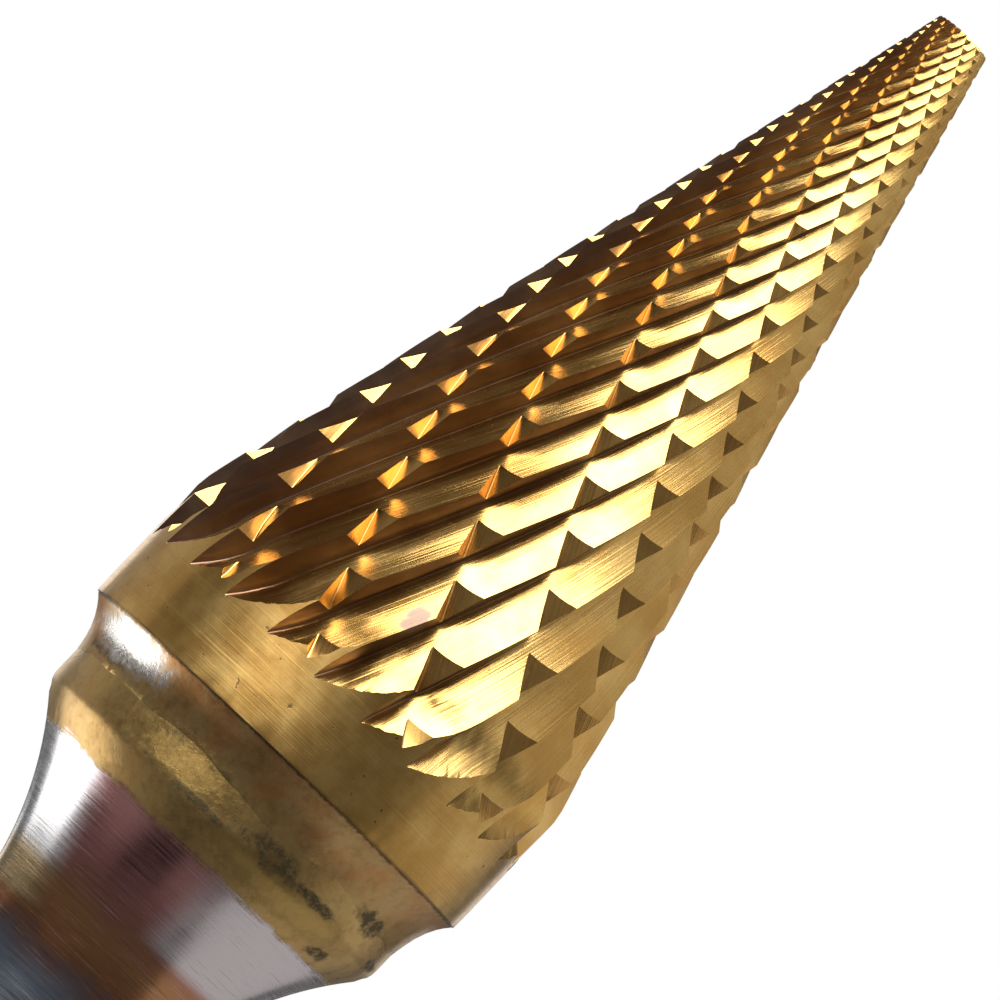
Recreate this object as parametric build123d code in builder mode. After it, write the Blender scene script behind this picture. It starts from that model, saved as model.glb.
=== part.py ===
"""Carbide burr for a hand-held grinder: a pointed cone head with double-cut teeth,
brazed to the flared end of a round steel shank.

Origin at the centre of the shank's end face, +Z along the axis towards the tip. Sizes in mm.
"""

import os
from math import cos, exp, log, pi, radians, sin, sqrt, tan

from build123d import *

# Whole burr
overall_length = 70.0
head_length = 24.5
shank_radius = 3.0

# Head: a short parallel stretch, then a cone with a small flat tip
head_radius = 6.0
straight_length = 3.7
tip_radius = 0.78

# Teeth: right-hand flutes crossed by left-hand chip-breakers, all ground by one V-shaped wheel.
# A depth is a share of the head's local radius, and angles are in degrees.
flute_count = 24
flute_helix = 25.3
flute_depth = 0.115
flute_phase = -3.0
rake_share = 0.18  # part of the pitch from a cutting edge to the foot of its rake face
breaker_count = 12
breaker_helix = 24.5
breaker_depth = 0.083
breaker_phase = 28.2
breaker_steep, breaker_slope = 2.1, 9.2  # widths of a chip-breaker's two walls, as turns
run_out_start = 1.85  # height above the head's back face where the wheel has left the work
run_out_length = 1.6
edge_setback = 0.002  # share of the local radius that the cutting edges are ground below the blank
tip_overrun = 0.6  # the grooves run on past the tip by this turn
back_overrun = 1.0  # and are drawn from this far behind the head
notch_margin = 0.1  # height below full depth where the lowest whole chip-breaker may cross a flute

# Braze layer and the shank's flared end
braze_thickness = 0.15
braze_fillet = 1.0
braze_hollow = 1.6  # radius of the fillet's hollow face
braze_inset = 0.05  # from the head's back edge to the fillet's upper end
collar_radius = 5.35
collar_length = 2.2
collar_corner = 0.25
flare_radius = 9.2
end_chamfer = 0.5

# Worked out
head_base = overall_length - head_length
taper = (head_radius - tip_radius) / (head_length - straight_length)
taper_sine = taper / sqrt(1 + taper**2)
collar_top = head_base - braze_thickness
flare_length = sqrt(flare_radius**2 - (flare_radius - collar_radius + shank_radius) ** 2)


def radius_at(height):
    """Outer radius of the head at a height above its back face."""
    return head_radius - max(height - straight_length, 0) * taper


def turn_at(height):
    """Distance travelled up the head's side over the local radius, added up from the back face.
    A groove at a steady helix angle has turned round the axis by this times the angle's tangent."""
    on_cone = log(head_radius / radius_at(height)) / taper_sine
    return min(height, straight_length) / head_radius + on_cone


def height_at(turn):
    """The height where turn_at gives this turn."""
    on_cone = max(turn - straight_length / head_radius, 0)
    radius = head_radius * exp(-on_cone * taper_sine)
    return min(turn * head_radius, straight_length) + (head_radius - radius) / taper


pitch = radians(360 / flute_count)
breaker_pitch = radians(360 / breaker_count)
flute_lead, breaker_lead = tan(radians(flute_helix)), tan(radians(breaker_helix))
full_depth_height = run_out_start + run_out_length
end_turn = turn_at(head_length) + tip_overrun

# Where a line along a flute has its points in the run-out, as shares of the run-out's length
run_out_shares = (-0.06, 0.3, 0.6, 0.85)

# Points up a tooth are put in order by a number: a chip-breaker's own, plus one of these
notch_bottom, notch_gullet, notch_top = 0.1, 0.2, 0.3
before_notches, after_notches = -100, 1000


def on_head(turn, angle, depth):
    """Point at a depth below the head's outline. Near the back the wheel leaves on an arc, so
    there the point is lifted out of the work."""
    height = height_at(turn)
    lift = flute_depth * head_radius * (max(full_depth_height - height, 0) / run_out_length) ** 2
    radius = radius_at(height) * (1 - edge_setback - depth) + lift
    return Vector(radius * cos(angle), radius * sin(angle), head_base + height)


def on_flute(flute, turn, past_edge=0, depth=0):
    """Point beside a flute's cutting edge, at an angle past it."""
    return on_head(turn, radians(flute_phase) + pitch * flute + flute_lead * turn + past_edge, depth)


def crossing(flute, breaker, past_edge, past_bottom):
    """Turn at which a point lies at one angle past a cutting edge and at another past the bottom
    of a chip-breaker."""
    between = radians(breaker_phase - flute_phase) + breaker_pitch * breaker - pitch * flute
    return (between + past_bottom - past_edge) / (flute_lead + breaker_lead)


def notch_point(flute, breaker, past_edge, past_bottom, depth):
    return on_flute(flute, crossing(flute, breaker, past_edge, past_bottom), past_edge, depth)


def notches(flute):
    """The chip-breakers that cross a flute where it is at full depth."""
    return [
        breaker
        for breaker in range(-2 * breaker_count, 4 * breaker_count)
        if height_at(crossing(flute, breaker, 0, -radians(breaker_steep))) > full_depth_height - notch_margin
        and crossing(flute, breaker, -pitch, 0) < end_turn
    ]


def ends(flute, past_edge, depth):
    """The points of a line along a flute from behind the head through its run-out, and its last
    point past the tip, each with the number that orders it."""
    heights = [-back_overrun] + [run_out_start + share * run_out_length for share in run_out_shares]
    numbered = enumerate(heights, before_notches)
    below = [(number, on_flute(flute, turn_at(h), past_edge, depth)) for number, h in numbered]
    return below, [(after_notches, on_flute(flute, end_turn, past_edge, depth))]


def edge_line(flute, side):
    """Points up a cutting edge and round its notches, seen from one side: -1 is the tooth's back
    slope and 1 is its rake face, where each notch cuts down to the chip-breaker's bottom."""
    first, last = ends(flute, 0, 0)
    width = pitch * (rake_share if side > 0 else rake_share - 1) * breaker_depth / flute_depth
    for breaker in notches(flute):
        first += [
            (breaker, notch_point(flute, breaker, 0, -radians(breaker_steep), 0)),
            (breaker + notch_bottom, notch_point(flute, breaker, width, 0, breaker_depth)),
            (breaker + notch_top, notch_point(flute, breaker, 0, radians(breaker_slope), 0)),
        ]
    return first + last


def gullet_line(flute):
    """Points up the bottom of the flute after a cutting edge."""
    first, last = ends(flute, rake_share * pitch, flute_depth)
    for breaker in notches(flute):
        point = notch_point(flute, breaker, rake_share * pitch, 0, flute_depth)
        first.append((breaker + notch_gullet, point))
    return first + last


def strip(left, right):
    """Triangles between two lines of ordered points, stepping up whichever is behind."""
    faces = []
    while len(left) > 1 or len(right) > 1:
        step_left = len(right) == 1 or (len(left) > 1 and left[1][0] <= right[1][0])
        corners = (left[0][1], right[0][1], left[1][1] if step_left else right[1][1])
        faces.append(Face(Wire.make_polygon(corners)))
        left, right = (left[1:], right) if step_left else (left, right[1:])
    return faces


def toothed_solid():
    """The head's teeth as flat facets, standing outside the blank behind the run-out and past
    the tip: each tooth's back slope and rake face, and each notch's two walls."""
    faces, foot, top = [], [], []
    for flute in range(flute_count):
        back, rake, gullet = edge_line(flute, -1), edge_line(flute, 1), gullet_line(flute)
        faces += strip(gullet_line(flute - 1), back) + strip(rake, gullet)
        for i, (number, point) in enumerate(back):
            if number in notches(flute):
                bottom = (back[i + 1][1], rake[i + 1][1])
                faces += [Face(Wire.make_polygon((*bottom, side))) for side in (point, back[i + 2][1])]
        foot += [back[0][1], gullet[0][1]]
        top += [back[-1][1], gullet[-1][1]]
    return Solid(Shell(faces + [Face(Wire.make_polygon(foot)), Face(Wire.make_polygon(top))]))


# The teeth give the cone its form; the blank gives the back face, the plain band and the flat tip
with BuildPart() as carbide_head:
    with Locations((0, 0, head_base)):
        Cylinder(head_radius, head_length, align=(Align.CENTER, Align.CENTER, Align.MIN))
    add(toothed_solid(), mode=Mode.INTERSECT)
carbide_head.part.label = "carbide_head"

# The braze fills the joint and rises in a hollow fillet from the collar to the head's back edge
with BuildPart() as braze_joint:
    with BuildSketch(Plane.XZ):
        with BuildLine():
            Polyline(
                (collar_radius, collar_top - braze_fillet + braze_thickness),
                (collar_radius, collar_top),
                (0, collar_top),
                (0, head_base),
                (head_radius - braze_inset, head_base),
            )
            RadiusArc(
                (head_radius - braze_inset, head_base),
                (collar_radius, collar_top - braze_fillet + braze_thickness),
                -braze_hollow,
            )
        make_face()
    revolve(axis=Axis.Z)
braze_joint.part.label = "braze_joint"

with BuildPart() as shank:
    with BuildSketch(Plane.XZ):
        with BuildLine():
            collar_foot = collar_top - collar_length
            flare_foot = collar_foot - flare_length
            Polyline(
                (collar_radius, collar_foot),
                (collar_radius, collar_top),
                (0, collar_top),
                (0, 0),
                (shank_radius, 0),
                (shank_radius, flare_foot),
            )
            RadiusArc((shank_radius, flare_foot), (collar_radius, collar_foot), flare_radius)
        make_face()
    revolve(axis=Axis.Z)
    round_edges = shank.edges().filter_by(GeomType.CIRCLE)
    fillet(round_edges.filter_by(lambda e: abs(e.center().Z - collar_foot) < 0.01), collar_corner)
    chamfer(shank.edges().filter_by(GeomType.CIRCLE).sort_by(Axis.Z)[0], end_chamfer)
shank.part.label = "shank"

os.makedirs("parts", exist_ok=True)
export_step(carbide_head.part, "parts/carbide_head.step")
export_step(braze_joint.part, "parts/braze_joint.step")
export_step(shank.part, "parts/shank.step")
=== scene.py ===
"""Looks of the carbide burr: gold-coated head with ground double-cut teeth, brazed joint and
heat-tinted shank, in a plain white studio. Metres, in the CAD model's frame."""

from math import atan2, cos, log, pi, radians, sin, sqrt, tan

import bmesh
import bpy
from mathutils import Matrix, Vector, noise


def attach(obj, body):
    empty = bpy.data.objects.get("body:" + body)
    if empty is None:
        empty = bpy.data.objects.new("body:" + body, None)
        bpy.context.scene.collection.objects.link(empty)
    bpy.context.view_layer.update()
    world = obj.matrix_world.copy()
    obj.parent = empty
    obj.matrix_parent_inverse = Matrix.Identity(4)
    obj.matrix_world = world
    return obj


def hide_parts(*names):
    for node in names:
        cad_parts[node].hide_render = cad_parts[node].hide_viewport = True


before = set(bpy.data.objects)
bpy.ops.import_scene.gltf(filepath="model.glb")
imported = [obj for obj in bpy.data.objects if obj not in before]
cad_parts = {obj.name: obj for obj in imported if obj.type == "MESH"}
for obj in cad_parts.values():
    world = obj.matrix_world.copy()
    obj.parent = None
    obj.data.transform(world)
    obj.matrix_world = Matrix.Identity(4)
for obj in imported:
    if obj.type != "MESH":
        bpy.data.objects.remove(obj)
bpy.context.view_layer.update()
MM = 0.001

# Sizes of the burr, as in the CAD model: mm and degrees, with leads as tangents of the helix angles
# and the depths and roundings of teeth as shares of the head's radius. RAKE_WIDTH is what a flute's
# front wall takes of its pitch, and STEEP and SLOPE what the two walls of a chip-breaker take of
# theirs. STRAIGHT, the run-out and the flare start at the head's back face.
OVERALL = 70.0
HEAD_LENGTH = 24.5
HEAD_BASE = OVERALL - HEAD_LENGTH
HEAD_RADIUS = 6.0
STRAIGHT = 3.7
TIP_RADIUS = 0.78
TAPER = (HEAD_RADIUS - TIP_RADIUS) / (HEAD_LENGTH - STRAIGHT)
TAPER_SINE = TAPER / sqrt(1 + TAPER**2)
FLUTES, BREAKERS = 24, 12
PITCH, BREAKER_PITCH = 360 / FLUTES, 360 / BREAKERS
FLUTE_LEAD, BREAKER_LEAD = tan(radians(25.3)), tan(radians(24.5))
FLUTE_PHASE, BREAKER_PHASE = -3.0, 28.2
FLUTE_DEPTH, BREAKER_DEPTH = 0.115, 0.083
FLUTE_ROUNDING, BREAKER_ROUNDING = 0.009, 0.008
RAKE_WIDTH = 0.18 * PITCH
STEEP, SLOPE = 2.1, 9.2
RUN_OUT_START, RUN_OUT_LENGTH = 1.85, 1.6
COLLAR_RADIUS = 5.35
COLLAR_TOP = HEAD_BASE - 0.15
SHANK_RADIUS = 3.0
FLARE_RADIUS, FLARE_START, FLARE_REACH = 9.2, -8.5, 6.15

# How finely the shapes are divided, solved and, in metres, merged
TURNED_STEPS = 288
WALL_STEPS, LAND_STEPS, GROOVE_STEPS = 3, 6, 2
CONE_STEPS, FLARE_STEPS = 8, 24
HALVINGS = 40
MERGE_DISTANCE = 2e-7


# ---------------------------------------------------------------- nodes
class Term:
    """A socket that does arithmetic: each operator adds a Math node to the socket's tree."""

    def __init__(self, nodes, socket):
        self.nodes, self.socket = nodes, socket

    def math(self, operation, *values):
        return self.nodes.add("ShaderNodeMath", dict(operation=operation),
                              dict(enumerate((self, *values))))

    def __add__(self, other):
        return self.math("ADD", other)

    def __sub__(self, other):
        return self.math("SUBTRACT", other)

    def __mul__(self, other):
        return self.math("MULTIPLY", other)

    def __truediv__(self, other):
        return self.math("DIVIDE", other)

    def __pow__(self, other):
        return self.math("POWER", other)

    def __neg__(self):
        return self.math("MULTIPLY", -1)

    def __rsub__(self, other):
        return (-self).math("ADD", other)

    def __rtruediv__(self, other):
        return self.nodes.add("ShaderNodeMath", dict(operation="DIVIDE"), {0: other, 1: self})

    __radd__, __rmul__ = __add__, __mul__

    def above(self, floor):
        return self.math("MAXIMUM", floor)

    def below(self, ceiling):
        return self.math("MINIMUM", ceiling)

    def fit(self, low, high, at_low=0.0, at_high=1.0, kind="SMOOTHSTEP"):
        """Runs from at_low to at_high as this runs from low to high, and stays there outside."""
        return self.nodes.add("ShaderNodeMapRange", dict(interpolation_type=kind, clamp=True),
                              {0: self, 1: low, 2: high, 3: at_low, 4: at_high})


class Nodes:
    """A node tree under construction."""

    def __init__(self, tree):
        self.tree = tree

    def add(self, kind, settings=None, inputs=None, out=0):
        """A node of that type with its settings and its sockets' values or links. Gives the output
        asked for, or nothing where the node has none."""
        node = self.tree.nodes.new(kind)
        for name, value in (settings or {}).items():
            if name == "stops":
                ramp = node.color_ramp
                while len(ramp.elements) < len(value):
                    ramp.elements.new(0.5)
                for element, (place, color) in zip(ramp.elements, value):
                    element.position, element.color = place, (*color, 1)
            else:
                setattr(node, name, value)
        for name, value in (inputs or {}).items():
            socket = node.inputs[name]
            if isinstance(value, Term):
                self.tree.links.new(value.socket, socket)
            else:
                socket.default_value = value
        return Term(self, node.outputs[out]) if node.outputs else None

    def mix(self, share, first, second):
        """Mixes two colours, on the Mix node's own colour sockets."""
        first, second = [(*c, 1) if isinstance(c, tuple) else c for c in (first, second)]
        return self.add("ShaderNodeMix", dict(data_type="RGBA", clamp_factor=True),
                        {0: share, 6: first, 7: second}, out=2)

    def vector(self, x, y, z):
        return self.add("ShaderNodeCombineXYZ", None, {0: x, 1: y, 2: z})

    def split(self, vector):
        """A vector's x, y and z."""
        x = self.add("ShaderNodeSeparateXYZ", None, {0: vector})
        return [Term(self, socket) for socket in x.socket.node.outputs]

    def noise(self, at, scale, detail, roughness, distortion=0.0):
        return self.add("ShaderNodeTexNoise", None,
                        {"Vector": at, "Scale": scale, "Detail": detail, "Roughness": roughness,
                         "Distortion": distortion})


def shader(name, metallic=1.0):
    """A new material with one Principled BSDF. Gives the material, its Nodes and the BSDF node."""
    material = bpy.data.materials.new(name)
    material.use_nodes = True
    bsdf = material.node_tree.nodes["Principled BSDF"]
    bsdf.inputs["Metallic"].default_value = metallic
    return material, Nodes(material.node_tree), bsdf


# ---------------------------------------------------------------- shapes of the head
def radius_at(height):
    return HEAD_RADIUS - max(height - STRAIGHT, 0) * TAPER


def flank_angle(depth):
    """Angle past the cutting edge, on the back slope, where a tooth is that deep: its section is
    straight."""
    full = radians(PITCH - RAKE_WIDTH)
    low, high = -full, 0.0
    for _ in range(HALVINGS):
        middle = (low + high) / 2
        reach = (1 - FLUTE_DEPTH) * sin(middle + full) + sin(-middle)
        radius = (1 - FLUTE_DEPTH) * sin(full) / reach
        low, high = (middle, high) if radius < 1 - depth else (low, middle)
    return (low + high) / 2


def round_bottom(left_slope, right_slope, depth, rounding):
    """Levels down a V-shaped groove whose bottom is rounded, and at each one the way along to its
    left and right walls from the V's point. Slopes are depths per unit of width, both positive."""
    left, right = sqrt(1 + left_slope**2), sqrt(1 + right_slope**2)
    centre = rounding * (left - right) / (left_slope + right_slope)
    middle = depth - rounding * right - right_slope * centre
    touch_left, touch_right = middle + rounding / left, middle + rounding / right
    first = min(touch_left, touch_right)
    levels = [first + (middle + rounding - first) * (1 - (1 - i / GROOVE_STEPS) ** 2)
              for i in range(GROOVE_STEPS + 1)]

    def wall_at(level, slope, touch, way):
        if level <= touch:
            return way * (depth - level) / slope
        return centre + way * sqrt(max(rounding**2 - (level - middle) ** 2, 0))

    walls = [(wall_at(level, left_slope, touch_left, -1),
              wall_at(level, right_slope, touch_right, 1)) for level in levels]
    return levels, walls


def tooth_cell():
    """One tooth with its notch, spread flat: x is the angle past the cutting edge, y the angle past
    the chip-breaker's bottom and z the depth as a share of the radius. The creases run corner to
    corner through the grid's cells, because rows and columns stand at the same depths."""
    levels, walls = round_bottom(BREAKER_DEPTH / radians(STEEP), BREAKER_DEPTH / radians(SLOPE),
                                 BREAKER_DEPTH, BREAKER_ROUNDING)
    straight = [levels[0] * i / WALL_STEPS for i in range(WALL_STEPS)]
    depths = straight + levels
    lower = [-radians(STEEP) * (1 - d / BREAKER_DEPTH) for d in straight] + [a for a, _ in walls]
    upper = [radians(SLOPE) * (1 - d / BREAKER_DEPTH) for d in straight] + [b for _, b in walls]
    top = radians(BREAKER_PITCH - STEEP)
    land = [upper[0] + (top - upper[0]) * (i + 1) / LAND_STEPS for i in range(LAND_STEPS)]
    uncut = -1
    rows = list(zip(lower, depths)) + list(zip(upper[-2::-1], depths[-2::-1]))
    rows += [(y, uncut) for y in land]

    rake, flank = radians(RAKE_WIDTH), radians(PITCH - RAKE_WIDTH)
    gullet, edges = round_bottom(FLUTE_DEPTH / rake, FLUTE_DEPTH / flank, FLUTE_DEPTH,
                                 FLUTE_ROUNDING)
    columns = [(edges[-1][0] - flank, gullet[-1])]
    columns += [(right - flank, d) for d, (_, right) in zip(gullet[-2::-1], edges[-2::-1])]
    columns += [(flank_angle(d), d) for d in depths[::-1]]
    columns += [(rake * d / FLUTE_DEPTH, d) for d in depths[1:]]
    columns += [(rake + left, d) for d, (left, _) in zip(gullet, edges)]

    mesh = bpy.data.meshes.new("tooth_cell")
    points = [(x, y, max(f, g)) for y, g in rows for x, f in columns]
    faces = []
    wide = len(columns)
    for j in range(len(rows) - 1):
        for i in range(wide - 1):
            a, b = j * wide + i, j * wide + i + 1
            c, d = b + wide, a + wide
            rising = (columns[i][1] > columns[i + 1][1]) == (rows[j][1] > rows[j + 1][1])
            faces += ((a, b, c), (a, c, d)) if rising else ((a, b, d), (b, c, d))
    mesh.from_pydata(points, [], faces)
    return mesh, columns, rows


def teeth_tree(material):
    """Geometry nodes that lay the tooth cell out along a cone's crossing flutes and chip-breakers.
    A turn here is the way along the cone over its radius, so that every helix is straight in it."""
    tree = bpy.data.node_groups.new("crossing_teeth", "GeometryNodeTree")
    tree.interface.new_socket("Geometry", in_out="INPUT", socket_type="NodeSocketGeometry")
    tree.interface.new_socket("Geometry", in_out="OUTPUT", socket_type="NodeSocketGeometry")
    nodes = Nodes(tree)
    sizes = {
        "Flutes": FLUTES, "Breakers": BREAKERS,
        "Flute lead": FLUTE_LEAD, "Breaker lead": BREAKER_LEAD,
        "Flute phase": radians(FLUTE_PHASE), "Breaker phase": radians(BREAKER_PHASE),
        "Base": HEAD_BASE * MM, "Radius": HEAD_RADIUS * MM,
        "Straight": STRAIGHT * MM, "Taper": TAPER, "Flute depth": FLUTE_DEPTH,
        "Full depth height": (RUN_OUT_START + RUN_OUT_LENGTH) * MM,
        "Run-out": RUN_OUT_LENGTH * MM, "Lowest turn": -1.1, "Highest turn": 9.2,
    }
    sockets = {name: tree.interface.new_socket(name, in_out="INPUT", socket_type="NodeSocketFloat")
               for name in sizes}
    geometry = nodes.add("NodeGroupInput")
    give = {name: Term(nodes, geometry.socket.node.outputs[name]) for name in sizes}

    # One point per cell: its flute, and how far up the cone its notch crosses that flute. Rounds of
    # breakers start below the head and go on past its tip, and the turns' limits drop the rest.
    rounds, rounds_below = 32, 4
    line = nodes.add("GeometryNodeMeshLine", None,
                     {"Count": rounds * FLUTES, "Offset": (0, 0, 0)})
    index = nodes.add("GeometryNodeInputIndex")
    flute = index.math("MODULO", give["Flutes"])
    breaker = (index / give["Flutes"]).math("FLOOR") - rounds_below
    leads = give["Flute lead"] + give["Breaker lead"]
    phases = give["Breaker phase"] - give["Flute phase"]
    between = phases + breaker * (2 * pi) / give["Breakers"]
    cell_turn = (between - flute * (2 * pi) / give["Flutes"]) / leads
    cell_angle = give["Flute phase"] + flute * (2 * pi) / give["Flutes"]
    over_lowest = cell_turn.math("GREATER_THAN", give["Lowest turn"])
    kept = over_lowest * cell_turn.math("LESS_THAN", give["Highest turn"])

    def store(onto, name, value):
        return nodes.add("GeometryNodeStoreNamedAttribute", dict(data_type="FLOAT", domain="POINT"),
                         {"Geometry": onto, "Name": name, "Value": value})

    def stored(name):
        return nodes.add("GeometryNodeInputNamedAttribute", dict(data_type="FLOAT"),
                         {"Name": name})

    line = store(store(line, "cell_turn", cell_turn), "cell_angle", cell_angle)
    cells = nodes.add("GeometryNodeInstanceOnPoints", None,
                      {"Points": line, "Selection": kept, "Instance": geometry})
    cells = nodes.add("GeometryNodeRealizeInstances", None, {"Geometry": cells})

    # Each vertex goes to its place on the cone, less its depth, lifted where the wheel runs out
    x, y, depth = nodes.split(nodes.add("GeometryNodeInputPosition"))
    turn = stored("cell_turn") + (y - x) / leads
    angle = stored("cell_angle") + x + turn * give["Flute lead"]
    sine = give["Taper"] / (give["Taper"] * give["Taper"] + 1) ** 0.5
    on_cone = (turn - give["Straight"] / give["Radius"]).above(0)
    radius = give["Radius"] * (-(on_cone * sine)).math("EXPONENT")
    up_the_cone = (give["Radius"] - radius) / give["Taper"]
    height = (turn * give["Radius"]).below(give["Straight"]) + up_the_cone
    lift = (give["Full depth height"] - height).above(0) / give["Run-out"]
    radius = radius * (1 - depth) + lift * lift * give["Flute depth"] * give["Radius"]
    position = nodes.vector(radius * angle.math("COSINE"), radius * angle.math("SINE"),
                            height + give["Base"])
    cells = nodes.add("GeometryNodeSetPosition", None, {"Geometry": cells, "Position": position})
    cells = nodes.add("GeometryNodeMergeByDistance", None,
                      {"Geometry": cells, "Distance": MERGE_DISTANCE})
    cells = nodes.add("GeometryNodeSetMaterial", None, {"Geometry": cells, "Material": material})
    nodes.add("NodeGroupOutput", None, {"Geometry": cells})
    return tree, {sockets[name].identifier: value for name, value in sizes.items()}


def add_object(name, data):
    obj = bpy.data.objects.new(name, data)
    bpy.context.scene.collection.objects.link(obj)
    return obj


def settle(obj, name):
    """The object's evaluated mesh as a plain object of its own; the object itself goes."""
    graph = bpy.context.evaluated_depsgraph_get()
    mesh = bpy.data.meshes.new_from_object(obj.evaluated_get(graph),
                                           preserve_all_data_layers=True, depsgraph=graph)
    bpy.data.objects.remove(obj)
    mesh.name = name
    return add_object(name, mesh)


def turned(name, profile, materials):
    """A closed solid turned about the axis from (radius, height) points in mm over the burr's own
    back end, from its lowest point on the axis to its highest."""
    bm = bmesh.new()
    rings = []
    for radius, height in profile:
        angles = [2 * pi * i / TURNED_STEPS for i in range(TURNED_STEPS)] if radius else [0]
        rings.append([bm.verts.new((radius * MM * cos(a), radius * MM * sin(a), height * MM))
                      for a in angles])
    for low, high in zip(rings, rings[1:]):
        for i in range(TURNED_STEPS):
            k = (i + 1) % TURNED_STEPS
            bm.faces.new(dict.fromkeys((low[i % len(low)], low[k % len(low)],
                                        high[k % len(high)], high[i % len(high)])))
    mesh = bpy.data.meshes.new(name)
    bm.to_mesh(mesh)
    bm.free()
    for material in materials:
        mesh.materials.append(material)
    return mesh


def shade(obj, crease):
    """Smooth faces with a sharp line wherever the surface turns by more than the crease's degrees
    or changes finish. The broad faces keep their own slant up to the line."""
    bm = bmesh.new()
    bm.from_mesh(obj.data)
    for face in bm.faces:
        face.smooth = True
    for edge in bm.edges:
        faces = edge.link_faces
        if len(faces) == 2:
            turns = faces[0].normal.angle(faces[1].normal, 0) > radians(crease)
            edge.smooth = not (turns or faces[0].material_index != faces[1].material_index)
    bm.to_mesh(obj.data)
    bm.free()
    slant = obj.modifiers.new("slant", "WEIGHTED_NORMAL")
    slant.mode, slant.weight, slant.keep_sharp = "FACE_AREA", 80, True
    return settle(obj, obj.name)


def along(points, value):
    """The second number of points, ordered by the first, where the first is a value."""
    for (low, at_low), (high, at_high) in zip(points, points[1:]):
        if low <= value <= high:
            return at_low + (at_high - at_low) * (value - low) / max(high - low, 1e-12)
    return points[-1][1]


# The head's finishes, and by how many mm its blank stands over the teeth's lands and the middle of
# a face may miss the blank's ends and sides
PLAIN, TOOTH_BACK, NOTCH, TOOTH_FRONT = range(4)
BLANK_OVER = 0.003
END_GAP, SIDE_GAP = 0.001, 0.004


def on_blank(point, normal):
    """Whether a face's middle, in metres, and its normal are those of the plain blank."""
    height = point.z / MM - HEAD_BASE
    if height < RUN_OUT_START or min(height, HEAD_LENGTH - height) < END_GAP or abs(normal.z) > 0.9:
        return True
    outward = Vector((*point.xy.normalized(), TAPER if height > STRAIGHT else 0)).normalized()
    reaches = point.xy.length / MM > radius_at(height) + BLANK_OVER - SIDE_GAP
    return reaches and normal.dot(outward) > 0.99


def finish_at(point, normal, columns, rows):
    """Which of the head's finishes a face has, by its middle in metres and its normal."""
    if on_blank(point, normal):
        return PLAIN
    height = point.z / MM - HEAD_BASE
    turn = min(height, STRAIGHT) / HEAD_RADIUS + log(HEAD_RADIUS / radius_at(height)) / TAPER_SINE
    angle = atan2(point.y, point.x)
    past_edge = angle - radians(FLUTE_PHASE) - FLUTE_LEAD * turn - columns[0][0]
    past_bottom = angle - radians(BREAKER_PHASE) + BREAKER_LEAD * turn - rows[0][0]
    past_edge = past_edge % radians(PITCH) + columns[0][0]
    past_bottom = past_bottom % radians(BREAKER_PITCH) + rows[0][0]
    if along(columns, past_edge) < along(rows, past_bottom):
        return NOTCH
    return TOOTH_FRONT if past_edge > 0 else TOOTH_BACK


def cutter(material):
    """The teeth all round as a closed form that reaches past both ends of the head, with the cell's
    columns and rows."""
    mesh, columns, rows = tooth_cell()
    cell = add_object("teeth", mesh)
    tree, values = teeth_tree(material)
    modifier = cell.modifiers.new("teeth", "NODES")
    modifier.node_group = tree
    for identifier, value in values.items():
        modifier[identifier] = value
    teeth = settle(cell, "teeth")

    bm = bmesh.new()
    bm.from_mesh(teeth.data)
    rims = [e for e in bm.edges if e.is_boundary]
    middle = (HEAD_BASE + 10) * MM
    for below in (True, False):
        rim = [e for e in rims if (e.verts[0].co.z < middle) == below]
        heights = [v.co.z for e in rim for v in e.verts]
        apex = bm.verts.new((0, 0, min(heights) - MM if below else max(heights) + MM))
        for edge in rim:
            first = edge.link_loops[0].vert
            bm.faces.new((edge.other_vert(first), first, apex))
    bm.to_mesh(teeth.data)
    bm.free()
    return teeth, columns, rows


def chip(mesh):
    """Breaks the sharp back edge of the head in small chips."""
    band, least, most = 0.1, 0.003, 0.014
    for vertex in mesh.vertices:
        height = vertex.co.z / MM - HEAD_BASE
        if height < band and vertex.co.xy.length > 0:
            chips = max(noise.noise(vertex.co * 900), 0) + max(noise.noise(vertex.co * 2600), 0)
            inwards = 1 - (least + most * chips**2) * (1 - height / band)
            vertex.co.xy = vertex.co.xy * inwards


def make_head(finishes):
    """The head: its plain turned form, cut down to the teeth. The finishes are for its plain parts,
    the teeth's backs, the notches and the teeth's fronts."""
    teeth, columns, rows = cutter(finishes[TOOTH_BACK])
    heights = [0, 0.04, 0.6, 1.2, 1.8, 2.4, 3.0, STRAIGHT]
    heights += [STRAIGHT + (i + 1) * (HEAD_LENGTH - STRAIGHT) / CONE_STEPS
                for i in range(CONE_STEPS)]
    profile = [(0, HEAD_BASE)] + [(radius_at(h) + BLANK_OVER, HEAD_BASE + h) for h in heights]
    profile += [(0, OVERALL)]
    blank = turned("carbide_head_ground", profile, finishes)
    chip(blank)
    head = add_object("carbide_head_ground", blank)
    cut = head.modifiers.new("teeth", "BOOLEAN")
    cut.operation, cut.solver, cut.object = "INTERSECT", "MANIFOLD", teeth
    head = settle(head, "carbide_head_ground")
    bpy.data.objects.remove(teeth)
    for face in head.data.polygons:
        face.material_index = finish_at(face.center, face.normal, columns, rows)
    return shade(head, crease=40)


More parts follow.
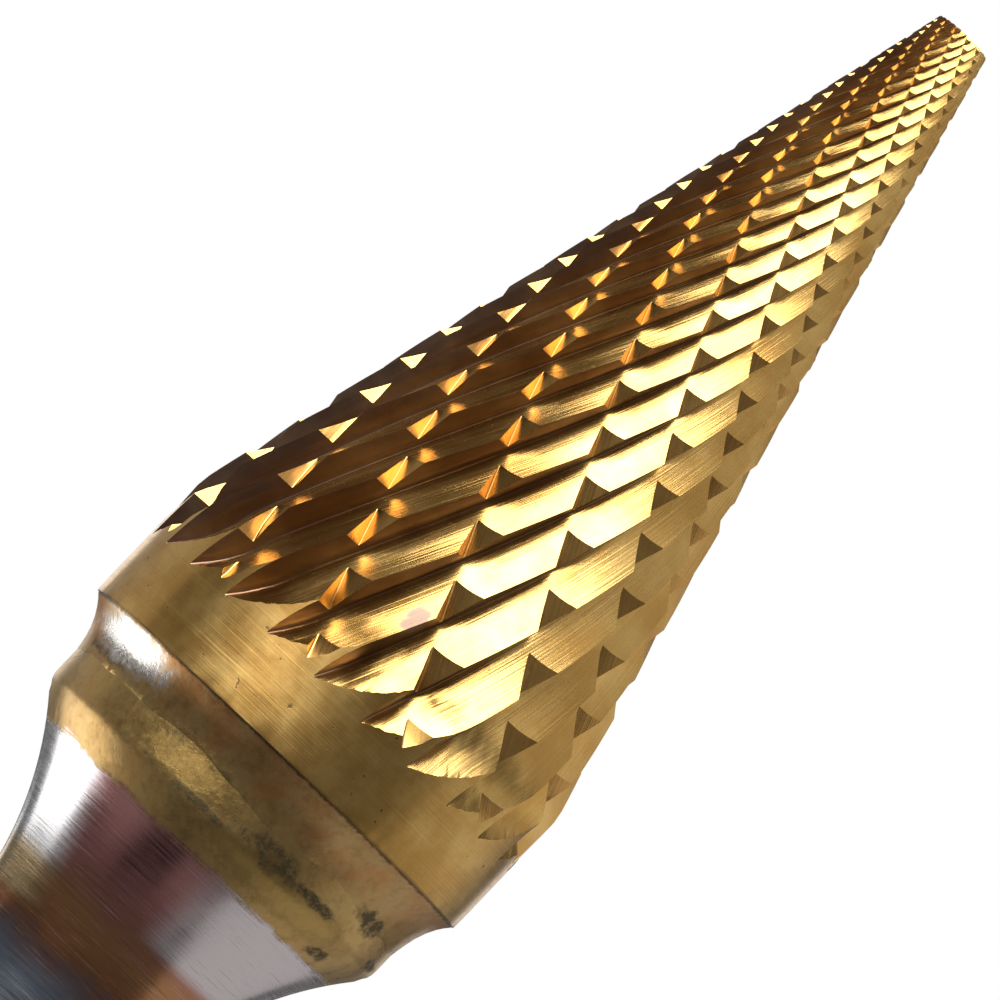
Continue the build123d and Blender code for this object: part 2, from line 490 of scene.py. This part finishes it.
# ---------------------------------------------------------------- finishes
GOLD, PALE_GOLD, DEEP_GOLD = (0.82, 0.52, 0.17), (0.88, 0.62, 0.26), (0.66, 0.37, 0.10)
# The notches' golds are deeper and more orange than the teeth's backs: painted shade and bounced
# glow in the recesses
NOTCH_SHADED_GOLD, DEEP_NOTCH_SHADED_GOLD = (0.74, 0.43, 0.13), (0.60, 0.32, 0.09)
# The teeth's fronts are brown: painted shade on the steep faces under the cutting edges
FRONT_SHADE_BROWN, DEEP_FRONT_SHADE_BROWN = (0.36, 0.23, 0.15), (0.24, 0.14, 0.095)
SMUDGE, SPECK, WORN_EDGE = (0.40, 0.31, 0.29), (0.10, 0.07, 0.04), (0.16, 0.10, 0.05)
BROWN, LIGHT_BROWN, MOTTLE = (0.60, 0.30, 0.11), (0.62, 0.40, 0.17), (0.36, 0.20, 0.07)
COLLAR_GOLD, LOW_GOLD, FINE_GOLD = (0.70, 0.45, 0.14), (0.64, 0.44, 0.16), (0.7, 0.5, 0.22)
POOL_LIP, STAIN, BACK_LINE = (0.20, 0.13, 0.05), (0.055, 0.055, 0.04), (0.08, 0.05, 0.03)
# Silvery uncoated braze; in front, under the window lamp, it is also a painted highlight
BARE_BRAZE_AND_HIGHLIGHT = (0.88, 0.86, 0.83)
# Painted light on the shank's steel: a golden and a silvery painted highlight on its left side
# under the window lamp, and paler steel as painted light on its right side
GILT_HIGHLIGHT, HIGHLIGHT_SILVER, LIT_SIDE_STEEL = (0.70, 0.53, 0.28), (0.86, 0.87, 0.88), (0.82, 0.74, 0.75)
BRIGHT_DASH, DARK_DASH = (0.75, 0.73, 0.72), (0.12, 0.09, 0.08)

# Temper colours of the steel, from the cool shank to the heat of the joint, and the heights in mm
# behind the head's back face that they run between
TEMPER_START, TEMPER_END = -12.0, -3.2
TEMPER = (
    (0.0, (0.50, 0.49, 0.48)), (0.30, (0.47, 0.49, 0.53)), (0.46, (0.34, 0.38, 0.47)),
    (0.53, (0.30, 0.20, 0.19)), (0.58, (0.44, 0.19, 0.09)), (0.68, (0.56, 0.27, 0.12)),
    (0.75, (0.50, 0.22, 0.15)), (0.81, (0.56, 0.24, 0.22)), (1.0, (0.62, 0.29, 0.27)),
)

# Blots, each by its degrees around, its height over the head's back face and its half sizes in mm
STAINS = (
    (17, -1.85, 1.1, 0.34), (55, -1.4, 0.7, 0.3), (74, -2.1, 0.7, 0.14),
    (-58, -1.0, 1.5, 0.14), (35, -1.95, 0.8, 0.16), (52, -2.8, 0.4, 0.16),
    (-6, -2.15, 0.9, 0.12), (150, -1.6, 1.4, 0.35), (-120, -1.9, 1.2, 0.3),
)
LIGHT_STAIN = (-22, -1.35, 0.32, 0.25)
POOL, LOW_POOL = (-16, -1.65, 1.6, 0.5), (28, -2.35, 2.6, 0.45)
# The front uncoated patch lies where the window lamp's highlight falls, so it is partly a painted
# highlight
BARE_FRONT_HIGHLIGHT, BARE_BACK = (-53, -0.5, 1.9, 0.5), (130, -0.6, 2.0, 0.45)
SMUDGED = (1, 4.55, 0.28, 0.4)

# Depths of the bumps in metres, and the shares of a turn by which drawn-out highlights are rotated
TOOTH_GRAIN, BAND_GRAIN, SKIN_GRAIN = 0.000018, 0.00002, 0.00003
AROUND, SLANTED = 0.25, 0.07


class Place:
    """Where a point of the surface is on the burr: its degrees around the axis, from -180 to 180
    with 0 towards -Y, and its height over the head's back face in mm."""

    def __init__(self, nodes):
        self.nodes = nodes
        at = nodes.add("ShaderNodeTexCoord", out="Object")
        self.at = nodes.add("ShaderNodeVectorMath", dict(operation="SCALE"),
                            {"Vector": at, "Scale": 1 / MM})
        x, y, z = nodes.split(self.at)
        self.height = z - HEAD_BASE
        self.angle = x.math("ARCTAN2", -y)
        self.degrees = self.angle * (180 / pi)

    def side(self, start, full, fade, end):
        """1 over one side of the burr, from one turn in degrees to another, fading at both ends."""
        return self.degrees.fit(start, full) * self.degrees.fit(end, fade)

    def turn(self):
        """The way along the cone over its radius, on which a helix of constant lead is straight."""
        radius = HEAD_RADIUS - (self.height - STRAIGHT).above(0) * TAPER
        grown = (HEAD_RADIUS / radius).math("LOGARITHM", 2.718281828) / TAPER_SINE
        return self.height.below(STRAIGHT) / HEAD_RADIUS + grown

    def lines_around(self, across, along_it, detail=3.0):
        """Noise drawn out into lines around the axis, by its scales across and along them."""
        where = self.nodes.vector(self.angle.math("COSINE") * along_it,
                                  self.angle.math("SINE") * along_it, self.height * across)
        return self.nodes.noise(where, 1.0, detail, 0.6)

    def lines_at(self, lead, across, along_it, detail):
        """Noise drawn out into grinding lines of that lead."""
        turn = self.turn()
        slant = self.angle - turn * lead
        where = self.nodes.vector(slant.math("COSINE") * across, slant.math("SINE") * across,
                                  turn * along_it)
        return self.nodes.noise(where, 1.0, detail, 0.6)

    def patch(self, blot, ragged=0.6):
        """1 within a blot, with a ragged edge."""
        degrees, height, wide, tall = blot
        out = ((self.degrees - degrees) * (0.1 / wide)) ** 2 + ((self.height - height) / tall) ** 2
        torn = self.nodes.noise(self.at, 2.6, 5.0, 0.65) - 0.5
        return (out.math("SQRT") + torn * (4 * ragged)).fit(1.3, 0.6)


def surface(nodes, bsdf, color, roughness, relief, strength, depth):
    """Gives a BSDF its colour, its roughness, and a bump of that strength and depth in metres."""
    bump = nodes.add("ShaderNodeBump", None,
                     {"Strength": strength, "Distance": depth, "Height": relief})
    for term, name in ((color, "Base Color"), (roughness, "Roughness"), (bump, "Normal")):
        nodes.tree.links.new(term.socket, bsdf.inputs[name])


def brushed(bsdf, amount, rotation):
    """Draws a BSDF's highlights out across its lines."""
    bsdf.inputs["Anisotropic"].default_value = amount
    bsdf.inputs["Anisotropic Rotation"].default_value = rotation


def coated(name, lead, roughness, grain, colors):
    """The coating over ground carbide, with the grinding lines of its wheel. Its colours are the
    deep and the full one of its blotches, and that of its lines."""
    deep, full, lined = colors
    material, nodes, bsdf = shader(name)
    place = Place(nodes)
    lines = place.lines_at(lead, 110, 1.3, 2.0)
    blotch = nodes.noise(place.at, 0.55, 4.0, 0.6)
    color = nodes.mix(blotch.fit(0.35, 0.7), deep, full)
    color = nodes.mix(lines.fit(0.55, 0.75) * 0.35, color, lined)
    worn = nodes.noise(place.at, 7.0, 3.0, 0.6)
    rough = roughness + (lines - 0.5) * 0.2 + (blotch - 0.5) * 0.1 + worn.fit(0.62, 0.75) * 0.08
    smudge = place.patch(SMUDGED, 0.5)
    color = nodes.mix(smudge * 0.75, color, SMUDGE)
    surface(nodes, bsdf, color, rough + smudge * 0.35, lines + worn * 0.1, grain, TOOTH_GRAIN)
    brushed(bsdf, 0.6, SLANTED if lead > 0 else -SLANTED)
    return material


def coated_band():
    """The plain back of the head: ground round and round, coated, with specks and a rubbed look."""
    material, nodes, bsdf = shader("coating_band")
    place = Place(nodes)
    fine = place.lines_around(26, 1.6)
    coarse = place.lines_around(7, 0.8)
    blotch = nodes.noise(place.at, 0.8, 5.0, 0.62)
    speck = nodes.noise(place.at, 5.5, 2.0, 0.5).fit(0.70, 0.76)
    color = nodes.mix(blotch.fit(0.38, 0.68), DEEP_GOLD, GOLD)
    color = nodes.mix(fine.fit(0.5, 0.8) * 0.4, color, PALE_GOLD)
    color = nodes.mix(speck * 0.75, color, SPECK)
    edge = (place.height + (blotch - 0.5) * 0.1).fit(0.07, 0.0)
    color = nodes.mix(edge * 0.6, color, WORN_EDGE)
    rough = 0.33 + (coarse - 0.5) * 0.16 + (blotch - 0.5) * 0.2 + speck * 0.2
    surface(nodes, bsdf, color, rough, fine + coarse * 0.5 - speck * 0.5, 0.35, BAND_GRAIN)
    brushed(bsdf, 0.9, AROUND)
    return material


def joint_color(place, blotch, fine):
    """The coating over braze and collar: brown-gold, with pale pools of braze, stains, and the dark
    lip of a pool. Gives the colour, the stains and the lip."""
    nodes = place.nodes
    puddle = nodes.noise(place.at, 0.5, 3.0, 0.55, 0.3)
    behind = place.degrees.math("ABSOLUTE").fit(60, 80)
    low = (place.height + (puddle - 0.5) * 3.0).fit(-0.9, -1.3)
    lower = (place.height + (blotch - 0.5) * 0.6).fit(-0.95, -1.25)
    color = nodes.mix(blotch.fit(0.35, 0.65), BROWN, LIGHT_BROWN)
    color = nodes.mix(lower * 0.6, color, LOW_GOLD)
    mottle = nodes.noise(place.at, 2.4, 6.0, 0.7).fit(0.48, 0.66)
    color = nodes.mix(mottle * 0.45, color, MOTTLE)
    pool = place.patch(POOL, 0.32).above(low * behind * puddle.fit(0.50, 0.56))
    pool = pool.above(place.patch(LOW_POOL, 0.3) * 0.8)
    lip = pool * (1 - pool) * 4
    color = nodes.mix(pool * (0.9 - mottle * 0.5), color, COLLAR_GOLD)
    color = nodes.mix(lip * 0.35, color, POOL_LIP)
    stains = place.patch(LIGHT_STAIN) * 0.7
    for blot in STAINS:
        stains = stains.above(place.patch(blot) * 0.85)
    stains = stains * fine.fit(0.35, 0.6, 0.5, 1.0)
    color = nodes.mix(stains, color, STAIN)
    color = nodes.mix(fine.fit(0.55, 0.8) * 0.3, color, FINE_GOLD)
    return color, stains, lip


def braze():
    """The coated braze, uncoated and silvery in two parts, the front one partly a painted
    highlight, with a dark line along the head.
    """
    material, nodes, bsdf = shader("braze_fillet")
    place = Place(nodes)
    fine = nodes.noise(place.at, 6.0, 4.0, 0.65)
    blotch = nodes.noise(place.at, 1.1, 4.0, 0.6)
    color, stains, lip = joint_color(place, blotch, fine)
    # Uncoated silvery braze in two patches, the front one partly a painted highlight
    bare_and_lit = place.patch(BARE_FRONT_HIGHLIGHT, 0.35).above(place.patch(BARE_BACK, 0.35))
    color = nodes.mix(bare_and_lit * (0.55 + fine * 0.6), color, BARE_BRAZE_AND_HIGHLIGHT)
    line = (place.height + (fine - 0.5) * 0.15).fit(-0.09, -0.02)
    color = nodes.mix(line * 0.8, color, BACK_LINE)
    rough = 0.36 + (fine - 0.5) * 0.25 + stains * 0.25 - bare_and_lit * 0.12
    surface(nodes, bsdf, color, rough, fine * 0.8 + blotch + lip * 0.5, 0.35, SKIN_GRAIN)
    return material


def shank():
    """Turned steel, coated by the collar, heat-tinted in bands behind it, with painted highlights.
    """
    material, nodes, bsdf = shader("shank_turned")
    place = Place(nodes)
    fine = nodes.noise(place.at, 6.0, 4.0, 0.65)
    blotch = nodes.noise(place.at, 1.1, 4.0, 0.6)
    lines = place.lines_around(16, 1.4)
    dashes = place.lines_around(20, 2.6, 5.0)
    coat, stains, lip = joint_color(place, blotch, fine)
    tinted = place.height + (blotch - 0.5) * 1.1 + (dashes - 0.5) * 0.5
    tint = nodes.add("ShaderNodeValToRGB", dict(stops=TEMPER),
                     {0: tinted.fit(TEMPER_START, TEMPER_END, kind="LINEAR")})
    height = place.height
    # Paler steel over the right side near the joint: painted light
    pale = place.side(5, 22, 95, 140) * height.fit(-5.6, -5.2)
    # Golden painted highlight on the left side, over the orange band of tint
    gilt_highlight = place.side(-125, -80, -46, -28) * height.fit(-5.2, -5.6) * height.fit(-6.9, -6.5)
    # Silvery painted highlight on the left side near the joint, under the window lamp
    silver_highlight = place.side(-130, -85, -43, -30) * height.fit(-5.9, -5.3)
    color = nodes.mix(gilt_highlight * 0.8, tint, GILT_HIGHLIGHT)
    color = nodes.mix(silver_highlight * 0.9, color, HIGHLIGHT_SILVER)
    color = nodes.mix(pale * 0.92, color, LIT_SIDE_STEEL)
    color = nodes.mix(dashes.fit(0.55, 0.75) * 0.3, color, BRIGHT_DASH)
    color = nodes.mix(dashes.fit(0.45, 0.28) * 0.4, color, DARK_DASH)
    coating = (height + (blotch - 0.5) * 0.5 + (dashes - 0.5) * 0.5).fit(-3.2, -3.05)
    color = nodes.mix(coating, color, coat)
    steel_rough = 0.24 + (dashes - 0.5) * 0.25 + (blotch - 0.5) * 0.12
    coat_rough = 0.36 + (fine - 0.5) * 0.25 + stains * 0.25
    rough = steel_rough + (coat_rough - steel_rough) * coating
    relief = lines * (1 - coating) * 0.35 + (fine * 0.6 + blotch + lip * 0.5) * coating
    surface(nodes, bsdf, color, rough, relief, 0.35, SKIN_GRAIN)
    brushed(bsdf, 0.5, AROUND)
    return material


# ---------------------------------------------------------------- pieces
def piece(obj, node):
    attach(obj, "root")
    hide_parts(node)


def make_joint():
    """The braze between collar and head, whose surface swells and sinks as it ran."""
    inner = COLLAR_RADIUS - 0.01
    profile = [(0, COLLAR_TOP), (inner, COLLAR_TOP), (inner, HEAD_BASE - 1.32)]
    profile += [(COLLAR_RADIUS + out, HEAD_BASE - down) for out, down in
                ((0.006, 1.36), (0.03, 1.2), (0.07, 1.0), (0.14, 0.75), (0.25, 0.5), (0.37, 0.3),
                 (0.48, 0.15), (0.57, 0.05), (0.60, 0.0))]
    profile += [(0, HEAD_BASE)]
    mesh = turned("braze_fillet", profile, [braze()])
    for vertex in mesh.vertices:
        height = vertex.co.z / MM - HEAD_BASE
        if -1.4 < height < -0.1 and vertex.co.xy.length > (COLLAR_RADIUS - 0.002) * MM:
            around = Vector((*vertex.co.xy, 0))
            wave = noise.noise(around * 330) + 0.5 * noise.noise(around * 900)
            vertex.co.z += 0.3 * wave * MM * min(-height, 1)
    return shade(add_object("braze_fillet", mesh), crease=40)


def make_shank():
    """The shank with its chamfered end, its flare up to the collar and the collar's rounded rim."""
    profile = [(0, 0), (SHANK_RADIUS - 0.55, 0), (SHANK_RADIUS - 0.48, 0.02),
               (SHANK_RADIUS - 0.03, 0.47), (SHANK_RADIUS, 0.54)]
    profile += [(SHANK_RADIUS, height) for height in (5, 10, 15, 20, 25, 30, 35)]
    centre = FLARE_RADIUS + SHANK_RADIUS
    rises = [FLARE_REACH * i / FLARE_STEPS for i in range(FLARE_STEPS)]
    profile += [(centre - sqrt(FLARE_RADIUS**2 - rise**2), HEAD_BASE + FLARE_START + rise)
                for rise in rises]
    profile += [(COLLAR_RADIUS + out, HEAD_BASE - down) for out, down in
                ((-0.13, 2.44), (-0.055, 2.33), (-0.012, 2.2), (0, 2.06), (0, 1.5), (0, 0.8),
                 (0, 0.15))]
    profile += [(0, COLLAR_TOP)]
    return shade(add_object("shank_turned", turned("shank_turned", profile, [shank()])), crease=30)


head = make_head((
    coated_band(),
    coated("coating_back", FLUTE_LEAD, 0.25, 0.35, (DEEP_GOLD, GOLD, PALE_GOLD)),
    # Notches: a deeper orange gold as painted shade in the recesses
    coated("coating_notch_shaded", -BREAKER_LEAD, 0.29, 0.25, (DEEP_NOTCH_SHADED_GOLD, NOTCH_SHADED_GOLD, NOTCH_SHADED_GOLD)),
    # Teeth's fronts: brown as painted shade under the cutting edges
    coated("coating_front_shaded", FLUTE_LEAD, 0.36, 0.2, (DEEP_FRONT_SHADE_BROWN, FRONT_SHADE_BROWN, FRONT_SHADE_BROWN)),
))
piece(head, "carbide_head")
piece(make_joint(), "braze_joint")
piece(make_shank(), "shank")


# ---------------------------------------------------------------- camera
# The middle of the head's back face is BASE_RIGHT and BASE_DOWN pixels into the frame and DISTANCE
# millimetres off, where a millimetre is PER_MM pixels. The axis is turned by ROLL in the frame, up
# from its right side, and by TILT out of it.
FRAME_SIZE, BASE_RIGHT, BASE_DOWN = 1000, 275.3, 759
PER_MM, DISTANCE = 40.98, 209
ROLL, TILT = radians(46.37), radians(3.88)
SENSOR_WIDTH = 36

base = Vector(((BASE_RIGHT - FRAME_SIZE / 2) / PER_MM, (BASE_DOWN - FRAME_SIZE / 2) / PER_MM,
               DISTANCE))
axis = Vector((cos(TILT) * cos(ROLL), -cos(TILT) * sin(ROLL), sin(TILT)))
side = Vector((sin(ROLL), cos(ROLL), 0))
to_world = Matrix((side, -side.cross(axis), axis))
eye = Vector((0, 0, HEAD_BASE)) - to_world @ base
turn = to_world @ Matrix(((1, 0, 0), (0, -1, 0), (0, 0, -1)))
camera_data = bpy.data.cameras.new("camera")
camera = add_object("camera", camera_data)
camera.matrix_world = Matrix.LocRotScale(eye * MM, turn.to_quaternion(), None)
camera_data.sensor_width = SENSOR_WIDTH
camera_data.lens = PER_MM * DISTANCE / FRAME_SIZE * SENSOR_WIDTH
camera_data.clip_start, camera_data.clip_end = 0.005, 20
bpy.context.scene.camera = camera


# ---------------------------------------------------------------- studio
RIGHT, UP, FRONT = (turn.col[i].normalized() for i in range(3))
MIDDLE = Vector((0, 0, (HEAD_BASE + 8) * MM))
ROOM_RADIUS, CARD_DISTANCE, WINDOW_DISTANCE, HIGH = 1.2, 0.6, 0.5, 0.45
ROOM_GLOW = 0.12
BACKDROP_LIGHT = 0.6
FLOOR_GREY = 0.85


def spot(right, up, front):
    """A place in the studio, in metres from the head along the camera's own right, up and front."""
    return MIDDLE + right * RIGHT + up * UP + front * FRONT


def toward(off, around, far):
    """A place that far off, by its angle from the camera's side and then clockwise from the
    camera's up."""
    off, around = radians(off), radians(around)
    return spot(far * sin(off) * sin(around), far * sin(off) * cos(around), far * cos(off))


def glow(name, strength):
    """A dim card's finish: it gives off an even grey."""
    material = bpy.data.materials.new(name)
    material.use_nodes = True
    material.node_tree.nodes.clear()
    nodes = Nodes(material.node_tree)
    light = nodes.add("ShaderNodeEmission", None, {"Strength": strength})
    nodes.add("ShaderNodeOutputMaterial", None, {"Surface": light})
    return material


def stand(obj):
    """Puts a studio card up where metal sees it and the camera doesn't."""
    obj.visible_camera = obj.visible_shadow = obj.visible_diffuse = False


def card(name, corners, strength):
    mesh = bpy.data.meshes.new(name)
    mesh.from_pydata([toward(*corner, CARD_DISTANCE) for corner in corners], [],
                     [range(len(corners))])
    mesh.materials.append(glow(name, strength))
    stand(add_object(name, mesh))


def lamp(name, middle, upright, width, height, radiance):
    """A soft rectangular lamp of even radiance that stands upright to one direction."""
    data = bpy.data.lights.new(name, "AREA")
    data.shape, data.size, data.size_y = "RECTANGLE", width, height
    data.energy = radiance * width * height * pi
    obj = add_object(name, data)
    z = upright.normalized()
    y = (FRONT - z * z.dot(FRONT)).normalized()
    facing = Matrix((y.cross(z), y, z)).transposed().to_quaternion()
    obj.matrix_world = Matrix.LocRotScale(middle, facing, None)
    obj.visible_camera = False


room = bpy.data.meshes.new("room")
bm = bmesh.new()
bmesh.ops.create_icosphere(bm, subdivisions=4, radius=ROOM_RADIUS,
                           matrix=Matrix.Translation(MIDDLE))
bm.to_mesh(room)
bm.free()
room.materials.append(glow("room", ROOM_GLOW))
stand(add_object("room", room))

lamp("softbox", spot(0.42 * HIGH, HIGH, 0.6 * HIGH), UP, 1.15 * HIGH, 1.25 * HIGH, radiance=6.5)
window = toward(114, -91, WINDOW_DISTANCE)
lamp("window", window, window - MIDDLE, 0.26, 0.36, radiance=2.0)

# Each card's strength, and its corners by their two angles as in toward
CARDS = {
    "edge": (0.5, [(62, 76), (62, 97), (104, 97), (104, 76)]),
    "table": (0.68, [(69, 97), (115, 97), (150, 120), (115, 140), (69, 125)]),
    "side": (0.75, [(50, 44), (50, 74), (70, 74), (70, 44)]),
    "rear": (0.42, [(98, -60), (98, -36), (150, -36), (150, -60)]),
    "back_left": (1.3, [(152, -78), (152, -36), (176, -36), (176, -78)]),
    "back_right": (0.9, [(152, 95), (152, 165), (176, 165), (176, 95)]),
    "low": (0.44, [(67, 197), (67, 141), (110, 141), (140, 170), (110, 200)]),
    "fill_left": (0.28, [(66, -120), (66, -98), (94, -98), (94, -116)]),
    "shade": (0.02, [(54, -137), (54, -106), (69, -112), (69, -137)]),
    "fill_low": (0.26, [(52, -172), (52, -140), (66, -140), (66, -166)]),
}
for name, (strength, corners) in CARDS.items():
    card(name + "_card", corners, strength)

# The world is white where the camera, gloss or glass sees it, and a softer light elsewhere
world = bpy.data.worlds.new("studio")
bpy.context.scene.world = world
world.use_nodes = True
backdrop = Nodes(world.node_tree)
by_camera, by_gloss, by_glass = (backdrop.add("ShaderNodeLightPath", out=ray) for ray in
                                 ("Is Camera Ray", "Is Glossy Ray", "Is Transmission Ray"))
light = BACKDROP_LIGHT + by_camera.above(by_gloss).above(by_glass) * (1 - BACKDROP_LIGHT)
background = world.node_tree.nodes["Background"]
background.inputs["Color"].default_value = (1, 1, 1, 1)
world.node_tree.links.new(light.socket, background.inputs["Strength"])

floor = bpy.data.meshes.new("floor")
floor.from_pydata([(-1, -1, 0), (1, -1, 0), (1, 1, 0), (-1, 1, 0)], [], [(0, 1, 2, 3)])
pale, _, paint = shader("floor", metallic=0.0)
paint.inputs["Base Color"].default_value = (FLOOR_GREY, FLOOR_GREY, FLOOR_GREY, 1)
paint.inputs["Roughness"].default_value = 0.8
floor.materials.append(pale)
ground = add_object("floor", floor)
ground.visible_glossy = ground.visible_shadow = False

bpy.context.scene.view_settings.view_transform = "Standard"
